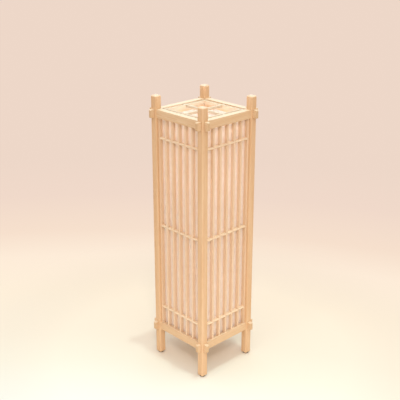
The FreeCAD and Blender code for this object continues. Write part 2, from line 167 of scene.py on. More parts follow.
def giveGrain(piece, along):
    # "grain" holds two places across the board and one along it; "tone" is the board's own shade
    across = [axis for axis in range(3) if axis != along]
    mesh = piece.data
    middle = sum((corner.co for corner in mesh.vertices), Vector()) / len(mesh.vertices)
    sawn = freshBoard()
    grain = mesh.attributes.new("grain", "FLOAT_VECTOR", "POINT")
    for index, corner in enumerate(mesh.vertices):
        place = corner.co - middle
        grain.data[index].vector = Vector((place[across[0]], place[across[1]], place[along])) + sawn
    tone = mesh.attributes.new("tone", "FLOAT", "POINT")
    shade = boards.uniform(0, 1)
    for index in range(len(mesh.vertices)):
        tone.data[index].value = shade
    endGrain = mesh.attributes.new("endGrain", "FLOAT", "FACE")
    for index, face in enumerate(mesh.polygons):
        endGrain.data[index].value = float(abs(face.normal[along]) > sawing["endFacing"])


def copyPiece(piece, name, shift=(0, 0, 0), turn=0):
    # a copy with its own mesh, moved, turned about the lamp's axis, and sawn from another board
    pickOnly(piece)
    bpy.ops.object.duplicate()
    copy = bpy.context.object
    copy.name = copy.data.name = name
    copy.location = shift
    copy.rotation_euler = (0, 0, math.radians(turn))
    bpy.ops.object.transform_apply(location=True, rotation=True, scale=True)
    sawn = freshBoard() - freshBoard()
    shade = boards.uniform(0, 1)
    for index in range(len(copy.data.vertices)):
        copy.data.attributes["grain"].data[index].vector += sawn
        copy.data.attributes["tone"].data[index].value = shade
    return copy


def settle(piece, body, slotName, material, *nodes):
    # a finished piece rides on its body and stands for its CAD nodes
    piece.data.materials.clear()
    piece.data.materials.append(material)
    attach(piece, body)
    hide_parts(*nodes)


# materials

def startMaterial(name):
    material = bpy.data.materials.new(name)
    material.use_nodes = True
    material.node_tree.nodes.clear()
    return material, material.node_tree


def wire(tree, source, target):
    # a socket takes another node's output or a plain value
    if isinstance(source, bpy.types.NodeSocket):
        tree.links.new(source, target)
    else:
        target.default_value = source


def addNode(tree, kind, label, **settings):
    # a setting is an input of that name, or else an option of the node
    node = tree.nodes.new(kind)
    node.label = label
    for setting, value in settings.items():
        inputName = setting.replace("_", " ")
        if inputName in node.inputs:
            wire(tree, value, node.inputs[inputName])
        else:
            setattr(node, setting, value)
    return node


def wireFirst(tree, node, *values):
    # feeds the node's first sockets in their order, and gives back its result
    for socket, value in zip(node.inputs, values):
        wire(tree, value, socket)
    return node.outputs[0]


def addMaths(tree, label, operation, *values):
    return wireFirst(tree, addNode(tree, "ShaderNodeMath", label, operation=operation), *values)


def remap(tree, label, value, *limits, **settings):
    # the limits are from low, from high, to low, to high
    return wireFirst(tree, addNode(tree, "ShaderNodeMapRange", label, **settings), value, *limits)


def mixShaders(tree, label, share, first, second):
    return wireFirst(tree, addNode(tree, "ShaderNodeMixShader", label), share, first, second)


def mixColours(tree, label, share, first, second):
    mixer = addNode(tree, "ShaderNodeMix", label, data_type="RGBA")
    for number, value in ((0, share), (6, first), (7, second)):  # the sockets for colours
        wire(tree, value, mixer.inputs[number])
    return mixer.outputs[2]


def stretch(tree, label, vector, scale):
    return addNode(tree, "ShaderNodeMapping", label, Vector=vector, Scale=scale).outputs[0]


def addNoise(tree, label, vector, scale, detail=2.0, roughness=0.5, distortion=0.0):
    node = addNode(tree, "ShaderNodeTexNoise", label, Vector=vector, Scale=scale, Detail=detail,
                   Roughness=roughness, Distortion=distortion)
    return node.outputs["Fac"]


def waveScale(width):
    return math.tau / 20 / width  # a wave texture's scale for bands of this width


def objectPlace(tree):
    return addNode(tree, "ShaderNodeTexCoord", "place").outputs["Object"]


def upwardPart(tree, direction):
    return addNode(tree, "ShaderNodeSeparateXYZ", "upward part", Vector=direction).outputs["Z"]


def facingUp(tree):
    return upwardPart(tree, addNode(tree, "ShaderNodeNewGeometry", "facing").outputs["Normal"])


def finishShader(tree, colour, roughness, height, lift, **sockets):
    relief = addNode(tree, "ShaderNodeBump", "relief", Height=height, Distance=lift, Strength=1.0)
    shader = addNode(tree, "ShaderNodeBsdfPrincipled", "surface", Base_Color=colour,
                     Roughness=roughness, Normal=relief.outputs[0], **sockets)
    return shader, addNode(tree, "ShaderNodeOutputMaterial", "output", Surface=shader.outputs[0])


def makeWood(name, finish):
    material, tree = startMaterial(name)
    grain = addNode(tree, "ShaderNodeAttribute", "grain", attribute_name="grain").outputs["Vector"]
    tone = addNode(tree, "ShaderNodeAttribute", "board tone", attribute_name="tone").outputs["Fac"]
    onEnd = addNode(tree, "ShaderNodeAttribute", "end grain and painted top light", attribute_name="endGrain").outputs["Fac"]
    slow = stretch(tree, "slow along the grain", grain, (1, 1, finish["wanderStretch"]))
    rings = addNode(tree, "ShaderNodeTexWave", "growth rings", wave_type="RINGS", rings_direction="Z",
                    wave_profile="SAW", Vector=slow, Scale=waveScale(finish["ringWidth"]),
                    Distortion=finish["ringWander"], Detail=2.0, Detail_Scale=finish["wanderScale"])
    ringBand = addNode(tree, "ShaderNodeValToRGB", "spring to summer wood")
    ringBand.color_ramp.interpolation = "EASE"
    stops = ringBand.color_ramp.elements
    stops.new(1.0)
    for stop, (position, shade) in zip(stops, finish["ringStops"]):
        stop.position = position
        stop.color = (shade, shade, shade, 1)
    wire(tree, rings.outputs["Fac"], ringBand.inputs[0])
    longFibres = stretch(tree, "long fibres", grain, (1, 1, finish["fibreStretch"]))
    fibres = addNoise(tree, "fibres", longFibres, finish["fibreScale"], detail=3, roughness=0.6)
    longClouds = stretch(tree, "long clouds", grain, (1, 1, finish["cloudStretch"]))
    clouds = addNoise(tree, "slow clouds", longClouds, finish["cloudScale"], detail=1)
    ringShare = addMaths(tree, "ring contrast", "MULTIPLY", ringBand.outputs[0], finish["ringContrast"])
    fibreShare = remap(tree, "fibre contrast", fibres, 0.35, 0.75, 0.0, finish["fibreContrast"])
    cloudShare = remap(tree, "cloud contrast", clouds, 0.35, 0.7, 0.0, finish["cloudContrast"])
    toneShare = remap(tree, "tone contrast", tone, 0.0, 1.0, 0.0, finish["toneContrast"])
    # end grain gets its own colour, darker on the rails' stubs; on the posts, whose end grain is their
    # tops, it is paler, a painted highlight of the light from above
    endAndTopShare = addMaths(tree, "end grain and painted top light share", "MULTIPLY", onEnd, finish["endGrainAndTopLightShare"])
    # upper faces are painted paler: a painted highlight of the light from above
    paintedTopShare = remap(tree, "painted top light share", facingUp(tree), 0.3, 0.9, 0.0, finish["paintedTopLightShare"])
    colour = finish["springWood"]
    for label, share, shade in (
            ("rings", ringShare, "summerWood"), ("fibres", fibreShare, "fibreShade"),
            ("clouds", cloudShare, "summerWood"), ("board tone", toneShare, "toneShade"),
            ("end grain and painted top light", endAndTopShare, "endGrainAndTopLight"), ("painted light on upper faces", paintedTopShare, "paintedTopLightColour")):
        colour = mixColours(tree, label, share, colour, finish[shade])
    roughness = remap(tree, "polish", fibres, 0.3, 0.7, finish["smooth"], finish["rough"])
    height = addMaths(tree, "relief height", "ADD", fibreShare, ringShare)
    finishShader(tree, colour, roughness, height, finish["relief"], Specular_IOR_Level=finish["sheen"])
    return material


plainWood = {
    "ringWidth": 0.0026, "ringWander": 5.0, "wanderScale": 2.2, "wanderStretch": 0.10,
    "ringStops": ((0.25, 0.0), (0.86, 1.0), (1.0, 0.1)),  # spring wood, summer wood, and the step back
    "ringContrast": 0.45, "springWood": (0.735, 0.495, 0.290, 1), "summerWood": (0.620, 0.355, 0.165, 1),
    "fibreScale": 1400, "fibreStretch": 0.02, "fibreContrast": 0.28,
    "fibreShade": (0.580, 0.360, 0.180, 1),
    "cloudScale": 75, "cloudStretch": 0.06, "cloudContrast": 0.45,
    "toneContrast": 0.28, "toneShade": (0.650, 0.400, 0.200, 1),
    "endGrainAndTopLightShare": 0.5, "endGrainAndTopLight": (0.500, 0.300, 0.140, 1),
    "paintedTopLightShare": 0.0, "paintedTopLightColour": (0.880, 0.740, 0.530, 1),
    "smooth": 0.42, "rough": 0.60, "relief": 0.00006, "sheen": 0.45,
}
# the posts' end-grain colour is pale: a painted highlight on their tops
postWood = makeWood("planed post wood", {
    **plainWood, "endGrainAndTopLightShare": 0.6, "endGrainAndTopLight": (0.770, 0.590, 0.400, 1),
    "ringContrast": 0.52, "cloudContrast": 0.55})
# rail wood: its upper faces get the painted highlight of the light from above
railWood = makeWood("planed rail wood", {
    **plainWood, "ringWidth": 0.0034, "springWood": (0.755, 0.560, 0.355, 1), "paintedTopLightShare": 0.35})
latticeWood = makeWood("fine lattice wood", {
    **plainWood, "ringWidth": 0.0016, "springWood": (0.850, 0.655, 0.480, 1),
    "summerWood": (0.735, 0.510, 0.300, 1), "ringContrast": 0.42})
# the bars' wood is painted paler than the slats': a painted highlight of the light on the bars' tops
paintedHighlightBarWood = makeWood("bar wood with painted highlight", {
    **plainWood, "ringWidth": 0.0016, "springWood": (0.900, 0.735, 0.530, 1),
    "summerWood": (0.790, 0.590, 0.380, 1), "ringContrast": 0.40})
lidWood = makeWood("lid wood", {
    **plainWood, "ringWidth": 0.0018, "springWood": (0.650, 0.548, 0.392, 1),
    "summerWood": (0.610, 0.490, 0.320, 1), "ringContrast": 0.42})
battenWood = makeWood("sawn batten wood", {
    **plainWood, "ringWidth": 0.0040, "smooth": 0.62, "rough": 0.80, "relief": 0.00012, "sheen": 0.3})


def makePaper():
    # fibre paper: clouds of pulp, and long curved fibres that lie in it
    pulp = {
        "thin": (0.930, 0.785, 0.665, 1), "thick": (0.960, 0.855, 0.755, 1), "cloudScale": 55,
        "fibre": (0.950, 0.890, 0.800, 1), "fibreWidth": 0.012, "fibreContrast": 0.55,
        "through": 0.38,  # share of the light that passes to the other side
        "rough": 0.85, "relief": 0.00008, "sheen": 0.2,
    }
    material, tree = startMaterial("fibre paper")
    place = objectPlace(tree)
    clouds = addNoise(tree, "pulp clouds", place, pulp["cloudScale"], detail=4, roughness=0.6)
    pulpShare = remap(tree, "pulp share", clouds, 0.3, 0.7, 0, 1)
    colour = mixColours(tree, "pulp", pulpShare, pulp["thin"], pulp["thick"])
    strands = []
    for label, scale, bend in (("long fibres", 28, 1.6), ("short fibres", 70, 2.4)):
        curl = addNoise(tree, label, place, scale, detail=1, distortion=bend)
        fromLine = addMaths(tree, f"{label} from their line", "SUBTRACT", curl, 0.5)
        offLine = addMaths(tree, f"{label} off line", "ABSOLUTE", fromLine)
        strands.append(remap(tree, f"{label} width", offLine, 0.0, pulp["fibreWidth"], 1.0, 0.0))
    fibres = addMaths(tree, "all fibres", "MAXIMUM", *strands)
    fibreShare = addMaths(tree, "fibre share", "MULTIPLY", fibres, pulp["fibreContrast"])
    colour = mixColours(tree, "fibres", fibreShare, colour, pulp["fibre"])
    height = addMaths(tree, "paper relief", "ADD", fibres, clouds)
    shader, output = finishShader(tree, colour, pulp["rough"], height, pulp["relief"],
                                  Specular_IOR_Level=pulp["sheen"])
    glow = addNode(tree, "ShaderNodeBsdfTranslucent", "light from behind", Color=colour)
    both = mixShaders(tree, "paper", pulp["through"], shader.outputs[0], glow.outputs[0])
    wire(tree, both, output.inputs["Surface"])
    return material


def makePlywood():
    # veneers of turned grain, seen as layers on the board's edges
    veneer = {
        "light": (0.740, 0.520, 0.300, 1), "dark": (0.560, 0.350, 0.170, 1), "thickness": 0.0018,
        "figureScale": 30, "figureContrast": 0.6, "streakScale": 260, "streakContrast": 0.35,
        "smooth": 0.60, "rough": 0.75, "relief": 0.0001, "sheen": 0.3,
    }
    material, tree = startMaterial("plywood")
    place = objectPlace(tree)
    layers = addNode(tree, "ShaderNodeTexWave", "layers", wave_type="BANDS", bands_direction="Z",
                     wave_profile="SIN", Vector=place, Scale=waveScale(2 * veneer["thickness"]))
    longStreaks = stretch(tree, "long streaks", place, (1, 0.05, 1))
    streaks = addNoise(tree, "face streaks", longStreaks, veneer["streakScale"], detail=3,
                       distortion=0.4)
    broadStreaks = stretch(tree, "broad streaks", place, (1, 0.2, 1))
    broad = addNoise(tree, "broad figure", broadStreaks, veneer["figureScale"], detail=2, distortion=1.2)
    figureShare = remap(tree, "figure share", broad, 0.35, 0.65, 0, veneer["figureContrast"])
    streakShare = remap(tree, "streak share", streaks, 0.4, 0.7, 0, veneer["streakContrast"])
    steepness = addMaths(tree, "steepness", "ABSOLUTE", facingUp(tree))
    onEdge = addMaths(tree, "on an edge", "LESS_THAN", steepness, 0.5)
    layerShare = addMaths(tree, "layer share", "MULTIPLY", onEdge, layers.outputs["Fac"])
    colour = veneer["light"]
    for label, share in (("figure", figureShare), ("streaks", streakShare), ("layers", layerShare)):
        colour = mixColours(tree, label, share, colour, veneer["dark"])
    roughness = remap(tree, "polish", streaks, 0.3, 0.7, veneer["smooth"], veneer["rough"])
    finishShader(tree, colour, roughness, streaks, veneer["relief"], Specular_IOR_Level=veneer["sheen"])
    return material


def makeSpeckled(name, look):
    # moulded, glazed and metal finishes: a soft mottle in colour, polish and relief
    material, tree = startMaterial(name)
    place = objectPlace(tree)
    drawnOut = stretch(tree, "direction", place, look.get("stretch", (1, 1, 1)))
    mottle = addNoise(tree, "mottle", drawnOut, look["scale"], detail=3, roughness=0.6)
    fine = addNoise(tree, "fine grain", place, look["scale"] * 6, detail=2)
    mottleShare = remap(tree, "mottle share", mottle, 0.3, 0.7, 0, 1)
    colour = mixColours(tree, "mottle", mottleShare, look["light"], look["dark"])
    roughness = remap(tree, "polish", fine, 0.3, 0.7, look["smooth"], look["rough"])
    finishShader(tree, colour, roughness, mottle, look["relief"], **look.get("sockets", {}))
    return material


screwSteel = makeSpeckled("zinc-plated steel", {
    "light": (0.62, 0.61, 0.56, 1), "dark": (0.46, 0.45, 0.41, 1), "scale": 700,
    "smooth": 0.28, "rough": 0.42, "relief": 0.00002, "sockets": {"Metallic": 1.0}})
grommetRubber = makeSpeckled("grommet rubber", {
    "light": (0.018, 0.017, 0.017, 1), "dark": (0.009, 0.009, 0.009, 1), "scale": 420,
    "smooth": 0.68, "rough": 0.82, "relief": 0.00003, "sockets": {"Specular_IOR_Level": 0.3}})
holderCeramic = makeSpeckled("glazed ceramic", {
    "light": (0.86, 0.84, 0.78, 1), "dark": (0.80, 0.77, 0.70, 1), "scale": 90,
    "smooth": 0.10, "rough": 0.18, "relief": 0.00004, "sockets": {"Coat_Weight": 0.4}})
holderBrass = makeSpeckled("satin brass", {
    "light": (0.68, 0.45, 0.17, 1), "dark": (0.52, 0.33, 0.12, 1), "scale": 300,
    "stretch": (1, 1, 0.2),
    "smooth": 0.26, "rough": 0.40, "relief": 0.00002, "sockets": {"Metallic": 1.0}})
capMetal = makeSpeckled("bulb cap metal", {
    "light": (0.66, 0.65, 0.62, 1), "dark": (0.54, 0.53, 0.50, 1), "scale": 260,
    "stretch": (1, 1, 0.3),
    "smooth": 0.22, "rough": 0.36, "relief": 0.00002, "sockets": {"Metallic": 1.0}})
bulbSolder = makeSpeckled("dull solder", {
    "light": (0.50, 0.50, 0.49, 1), "dark": (0.34, 0.34, 0.33, 1), "scale": 500,
    "smooth": 0.36, "rough": 0.55, "relief": 0.00006, "sockets": {"Metallic": 1.0}})
bulbInsulation = makeSpeckled("black insulation", {
    "light": (0.016, 0.014, 0.018, 1), "dark": (0.008, 0.007, 0.010, 1), "scale": 200,
    "smooth": 0.12, "rough": 0.22, "relief": 0.00002})
bulbPlastic = makeSpeckled("white moulded plastic", {
    "light": (0.84, 0.83, 0.80, 1), "dark": (0.78, 0.77, 0.74, 1), "scale": 240,
    "smooth": 0.34, "rough": 0.46, "relief": 0.00003})
opalGlass = makeSpeckled("opal glass", {
    "light": (0.90, 0.88, 0.82, 1), "dark": (0.86, 0.83, 0.76, 1), "scale": 40,
    "smooth": 0.16, "rough": 0.24, "relief": 0.00001, "sockets": {"Subsurface_Weight": 0.2}})
glidePlastic = makeSpeckled("glide plastic", {
    "light": (0.060, 0.040, 0.026, 1), "dark": (0.036, 0.024, 0.016, 1), "scale": 380,
    "smooth": 0.55, "rough": 0.70, "relief": 0.00003})
paper = makePaper()
plywood = makePlywood()
print("materials made")


# posts

facesOf = {"front": 0, "right": 90, "back": 180, "left": 270}   # turn from the front face
postsOf = {"front_left": 0, "front_right": 90, "back_right": 180, "back_left": 270}
postCut = {"edgeChamfer": 0.003, "endChamfer": 0.003, "easing": 0.0007, "tenon": 0.012,
           "cutterReach": 0.02}  # the mortises' cutters run right through

postLow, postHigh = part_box("post_front_left")
postMiddle = (postLow + postHigh) / 2
levels = {level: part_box(f"{level}_rail_front") for level in ("top", "bottom")}
halfTenon = postCut["tenon"] / 2


def isUpright(first, second):
    return abs(first.z - second.z) > near and (first.xy - second.xy).length < near


def isInEnd(first, second):
    fromEnd = min(abs(first.z - postLow.z), abs(first.z - postHigh.z))
    return abs(first.z - second.z) < near and fromEnd < near


post = addBlock("frontLeftPost", postLow, postHigh)
editEdges(post, isUpright)
bevelChosen(postCut["edgeChamfer"])
editEdges(post, isInEnd)
bevelChosen(postCut["endChamfer"])
reach = postCut["cutterReach"]
for level, (railLow, railHigh) in levels.items():
    mortises = [
        addBlock("mortiseAcross", (postLow.x - reach, postMiddle.y - halfTenon, railLow.z),
                 (postHigh.x + reach, postMiddle.y + halfTenon, railHigh.z)),
        addBlock("mortiseAlong", (postMiddle.x - halfTenon, postLow.y - reach, railLow.z),
                 (postMiddle.x + halfTenon, postHigh.y + reach, railHigh.z)),
    ]
    cutAway(post, mortises)
easeEdges(post, postCut["easing"])
giveGrain(post, 2)
for place, turn in postsOf.items():
    words = place.split("_")
    piece = post if turn == 0 else copyPiece(post, f"{words[0]}{words[1].title()}Post", turn=turn)
    settle(piece, "lamp_frame", "frame_wood", postWood, f"post_{place}")
print("posts done")


# rails with through tenons

railCut = {"stubChamfer": 0.0025, "easing": 0.0006, "groove": 0.004}
latticeFront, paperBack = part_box("slats_front")[0].y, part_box("paper_front")[1].y


def isTenonRoot(side):
    # the strip of a rail's end that grows into the tenon
    return lambda middle, normal: normal.x * side > 0.9 and abs(middle.y - postMiddle.y) < halfTenon


def makeRail(name, level, lapUpper):
    low, high = levels[level]
    rail = addBlock(name, (postHigh.x, low.y, low.z), (-postHigh.x, high.y, high.z))
    bisectAt(rail, (0, postMiddle.y - halfTenon, 0), (0, 1, 0))
    bisectAt(rail, (0, postMiddle.y + halfTenon, 0), (0, 1, 0))
    for side in (-1, 1):
        editFaces(rail, isTenonRoot(side))
        bpy.ops.mesh.extrude_region_move(
            TRANSFORM_OT_translate={"value": (side * (high.x + postHigh.x), 0, 0)})
        bpy.ops.object.mode_set(mode="OBJECT")
    editEdges(rail, lambda first, second: min(abs(first.x), abs(second.x)) > high.x - near)
    bevelChosen(railCut["stubChamfer"])
    grooveAtFoot = level == "top"
    grooveLow = low.z - near if grooveAtFoot else high.z - railCut["groove"]
    grooveHigh = low.z + railCut["groove"] if grooveAtFoot else high.z + near
    cutters = [addBlock("groove", (postHigh.x - near, latticeFront, grooveLow),
                        (-postHigh.x + near, paperBack, grooveHigh))]
    middle = (low.z + high.z) / 2
    for side in (-1, 1):
        cutters.append(addBlock(
            "halfLap",
            (side * -postMiddle.x - halfTenon, low.y - near, middle if lapUpper else low.z - near),
            (side * -postMiddle.x + halfTenon, high.y + near, high.z + near if lapUpper else middle)))
    cutAway(rail, cutters)
    easeEdges(rail, railCut["easing"])
    giveGrain(rail, 0)
    return rail


for level in levels:
    for lapUpper, faces in ((True, ("front", "back")), (False, ("right", "left"))):
        pattern = makeRail(f"{level}Rail", level, lapUpper)
        for face in faces:
            piece = copyPiece(pattern, f"{face}{level.title()}Rail", turn=facesOf[face])
            settle(piece, "lamp_frame", "frame_wood", railWood, f"{level}_rail_{face}")
        pickOnly(pattern)
        bpy.ops.object.delete()
print("rails done")


# lattice: slats and stiles, with three bars halved into them

latticeCut = {"slatWidth": 0.006, "uprights": 7, "easing": 0.0005, "barEasing": 0.0010}
slatLow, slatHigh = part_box("stiles_front")
barBoxes = {bar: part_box(f"{bar}_bar_front") for bar in ("upper", "middle", "lower")}
pitch = (slatHigh.x - slatLow.x - latticeCut["slatWidth"]) / (latticeCut["uprights"] - 1)
halfDepth = (slatLow.y + slatHigh.y) / 2

slat = addBlock("slat", slatLow, (slatLow.x + latticeCut["slatWidth"], slatHigh.y, slatHigh.z))
cutAway(slat, [addBlock("notch", (slatLow.x - spare, halfDepth, low.z),
                        (slatLow.x + latticeCut["slatWidth"] + spare, slatHigh.y + spare, high.z))
               for low, high in barBoxes.values()])
easeEdges(slat, latticeCut["easing"])
giveGrain(slat, 2)

barLow, barHigh = barBoxes["upper"]
bar = addBlock("bar", barLow, barHigh)
slatLefts = [slatLow.x + index * pitch for index in range(latticeCut["uprights"])]
cutAway(bar, [addBlock("notch", (left, barLow.y - spare, barLow.z - spare),
                       (left + latticeCut["slatWidth"], halfDepth, barHigh.z + spare))
              for left in slatLefts])
easeEdges(bar, latticeCut["barEasing"])
giveGrain(bar, 0)

for face, turn in facesOf.items():
    row = [copyPiece(slat, f"slat{index}", shift=(index * pitch, 0, 0))
           for index in range(latticeCut["uprights"])]
    stiles = joinAll([row[0], row[-1]], f"{face}StilePair")
    slats = joinAll(row[1:-1], f"{face}Slats")
    for upright, node in ((stiles, "stiles"), (slats, "slats")):
        upright.rotation_euler = (0, 0, math.radians(turn))
        pickOnly(upright)
        bpy.ops.object.transform_apply(location=True, rotation=True, scale=True)
        settle(upright, "lamp_frame", "lattice_wood", latticeWood, f"{node}_{face}")
    for name, (low, high) in barBoxes.items():
        piece = copyPiece(bar, f"{face}{name.title()}Bar", shift=(0, 0, low.z - barLow.z), turn=turn)
        settle(piece, "lamp_frame", "lattice_wood", paintedHighlightBarWood, f"{name}_bar_{face}")
for pattern in (slat, bar):
    pickOnly(pattern)
    bpy.ops.object.delete()
print("lattice done")


# loose lid of six bars, and the ledges that carry it

lidCut = {"easing": 0.0006, "ledgeWidth": 0.006}


def makeLidBar(name, node, along, lapUpper, crossing):
    low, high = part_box(node)
    piece = addBlock(name, low, high)
    middle = (low.z + high.z) / 2
    cutters = []
    for crossNode in crossing:
        crossLow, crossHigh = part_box(crossNode)
        notchLow = Vector((crossLow.x, low.y - spare, low.z - spare))
        notchHigh = Vector((crossHigh.x, high.y + spare, high.z + spare))
        if along == 1:
            notchLow.xy = (low.x - spare, crossLow.y)
            notchHigh.xy = (high.x + spare, crossHigh.y)
        if lapUpper:
            notchLow.z = middle
        else:
            notchHigh.z = middle
        cutters.append(addBlock("notch", notchLow, notchHigh))
    cutAway(piece, cutters)
    easeEdges(piece, lidCut["easing"])
    giveGrain(piece, along)
    settle(piece, "lid", "lid_wood", lidWood, node)


acrossBars = ["lid_bar_front", "lid_bar_across", "lid_bar_back"]
alongBars = ["lid_bar_left", "lid_bar_along", "lid_bar_right"]
for node in acrossBars:
    makeLidBar(f"{node.split('_')[-1]}LidBar", node, 0, False, alongBars)
for node in alongBars:
    makeLidBar(f"{node.split('_')[-1]}LidBar", node, 1, True, acrossBars)

ledgeLow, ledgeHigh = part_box("lid_ledges")
between = ledgeHigh.y - lidCut["ledgeWidth"]
ledgeParts = []
for side in (-1, 1):
    outer, inner = side * ledgeHigh.y, side * between
    acrossLedge = addBlock("ledge", (-slatHigh.x, min(outer, inner), ledgeLow.z),
                           (slatHigh.x, max(outer, inner), ledgeHigh.z))
    alongLedge = addBlock("ledge", (min(outer, inner), -between, ledgeLow.z),
                          (max(outer, inner), between, ledgeHigh.z))
    for ledge, along in ((acrossLedge, 0), (alongLedge, 1)):
        easeEdges(ledge, lidCut["easing"])
        giveGrain(ledge, along)
        ledgeParts.append(ledge)
settle(joinAll(ledgeParts, "lidLedges"), "lamp_frame", "lid_wood", lidWood, "lid_ledges")
print("lid done")


# base battens

battenEasing = 0.0008
for place in ("front", "back"):
    low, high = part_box(f"base_batten_{place}")
    batten = addBlock(f"{place}Batten", low, high)
    easeEdges(batten, battenEasing)
    giveGrain(batten, 0)
    settle(batten, "lamp_frame", "batten_wood", battenWood, f"base_batten_{place}")


# bulb: turned on the lamp's axis

def turnPiece(name, profile, sides=64):
    # a filled ring at the foot, then one extrusion for each step of radius and height
    deselectAll()
    firstRadius, firstHeight = profile[0]
    bpy.ops.mesh.primitive_circle_add(vertices=sides, radius=firstRadius, fill_type="NGON",
                                      location=(0, 0, firstHeight))
    bpy.ops.object.transform_apply(location=True, rotation=True, scale=True)
    piece = bpy.context.object
    piece.name = piece.data.name = name
    bpy.ops.object.mode_set(mode="EDIT")
    bpy.ops.mesh.select_all(action="SELECT")
    radius, height = firstRadius, firstHeight
    for nextRadius, nextHeight in profile[1:]:
        bpy.ops.mesh.extrude_region_move(
            TRANSFORM_OT_translate={"value": (0, 0, nextHeight - height)})
        ratio = nextRadius / radius
        bpy.ops.transform.resize(value=(ratio, ratio, 1))
        radius, height = nextRadius, nextHeight
    bpy.ops.mesh.select_all(action="SELECT")
    bpy.ops.mesh.normals_make_consistent(inside=False)
    bpy.ops.object.mode_set(mode="OBJECT")
    bpy.ops.object.shade_smooth_by_angle(angle=math.radians(50))
    return piece


thread = {"pitch": 0.0036, "crest": 0.0131, "root": 0.0122,   # radii of crest and root
          "lead": 0.0008, "firstTurn": 0.0020, "lastTurn": 0.0020}
capLow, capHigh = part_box("bulb_cap")
capProfile = [(thread["root"], capLow.z), (thread["crest"], capLow.z + thread["lead"])]
turnFoot = capLow.z + thread["firstTurn"]
while turnFoot + thread["pitch"] < capHigh.z - thread["lastTurn"]:
    for share, radius in ((0.0, "crest"), (0.3, "crest"), (0.5, "root"), (0.8, "root")):
        capProfile.append((thread[radius], turnFoot + share * thread["pitch"]))
    turnFoot += thread["pitch"]
capProfile += [(thread["crest"], turnFoot), (thread["crest"], capHigh.z)]
settle(turnPiece("bulbCap", capProfile), "bulb", "bulb_cap_metal", capMetal, "bulb_cap")

neckLow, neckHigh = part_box("bulb_neck")
neckTop = neckHigh.x
neckMiddle = (neckLow.z + neckHigh.z) / 2
neck = {"foot": 0.0145, "rounding": 0.0012, "softening": 0.0006, "footBand": 0.003, "topBand": 0.0016}
settle(turnPiece("bulbNeck", [
    (neck["foot"] - neck["rounding"], neckLow.z), (neck["foot"], neckLow.z + neck["rounding"] / 2),
    (neck["foot"] + neck["softening"], neckLow.z + neck["footBand"]),
    ((neck["foot"] + neckTop) / 2, neckMiddle),
    (neckTop - neck["softening"] / 3, neckHigh.z - neck["topBand"]),
    (neckTop, neckHigh.z - neck["topBand"] / 2),
    (neckTop - neck["softening"], neckHigh.z)]), "bulb", "bulb_plastic", bulbPlastic, "bulb_neck")

globe = {"seam": 0.0004, "rings": 22, "crown": 0.012,  # the crown is a share of the radius
         "shoulder": math.asin(-0.6)}                  # the globe's cone meets the ball here
globeLow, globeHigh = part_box("bulb_globe")
globeRadius = globeHigh.x
globeMiddle = globeHigh.z - globeRadius
globeProfile = [(neckTop - globe["seam"], globeLow.z)]
for index in range(globe["rings"]):
    angle = globe["shoulder"] + (math.pi / 2 - globe["shoulder"]) * index / globe["rings"]
    globeProfile.append((globeRadius * math.cos(angle), globeMiddle + globeRadius * math.sin(angle)))
globeProfile.append((globeRadius * globe["crown"], globeHigh.z))
settle(turnPiece("bulbGlobe", globeProfile), "bulb", "bulb_glass", opalGlass, "bulb_globe")
print("bulb done")


# CAD nodes that stay, each in its own finish

keptNodes = {
    "base_board": plywood, "base_screws": screwSteel, "cord_grommet": grommetRubber,
    "lampholder_body": holderCeramic, "lampholder_shell": holderBrass,
    "lampholder_contact": holderBrass, "lampholder_screws": screwSteel,
    "bulb_tip": bulbSolder, "bulb_insulator": bulbInsulation, "foot_glides": glidePlastic,
    **{f"paper_{face}": paper for face in facesOf},
}
for node, material in keptNodes.items():
    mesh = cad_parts[node].data
    mesh.materials.clear()
    mesh.materials.append(material)
print("kept nodes finished")


# floor, backdrop and light

studio = {
    "floorReach": 14.0,
    "wallColour": (0.850, 0.681, 0.580, 1),      # what lies far behind the lamp
    "brightSpot": (1.2, -1.7),                   # the floor's painted pool of light fades away from here
    "glow": ((1.75, (1.000, 1.000, 0.900, 1)), (2.00, (1.000, 0.940, 0.785, 1)),
             (2.17, (1.000, 0.900, 0.740, 1)), (2.50, (1.000, 0.872, 0.703, 1)),
             (2.83, (0.990, 0.840, 0.690, 1)), (3.12, (0.925, 0.745, 0.610, 1)),
             (3.60, (0.872, 0.694, 0.590, 1)), (4.20, (0.850, 0.681, 0.580, 1))),
    "litNear": 0.775, "litFar": 0.45,            # share of that colour in the lit floor, painted darker away from the lamp
    "nearReach": 0.50, "farReach": 1.70,
    "fadeFrom": 0.45, "fadeTo": 0.95,
    "skyColour": (1.0, 0.935, 0.915, 1), "skyStrength": 0.91,
    "ceilingFrom": (0.10, 0.35), "ceilingColour": (1.65, 2.35, 2.90, 1),
}


def seenDirectly(tree):
    # straight to the camera, or mirrored or seen through glass
    rays = addNode(tree, "ShaderNodeLightPath", "rays")
    mirrored = addMaths(tree, "mirrored", "MAXIMUM", rays.outputs["Is Glossy Ray"],
                        rays.outputs["Is Transmission Ray"])
    return addMaths(tree, "seen", "MAXIMUM", rays.outputs["Is Camera Ray"], mirrored), mirrored


def distanceFrom(tree, label, place, spot):
    # level distance from a spot on the floor
    node = addNode(tree, "ShaderNodeVectorMath", label, operation="DISTANCE")
    for socket, value in zip(node.inputs, (place, (*spot, 0))):
        wire(tree, value, socket)
    return node.outputs["Value"]


deselectAll()
bpy.ops.mesh.primitive_circle_add(vertices=96, radius=studio["floorReach"], fill_type="NGON")
floor = bpy.context.object
floor.name = "studioFloor"
material, tree = startMaterial("studio floor")
place = objectPlace(tree)
fromLamp = distanceFrom(tree, "from the lamp", place, (0, 0))
fromSpot = distanceFrom(tree, "from the bright spot", place, studio["brightSpot"])
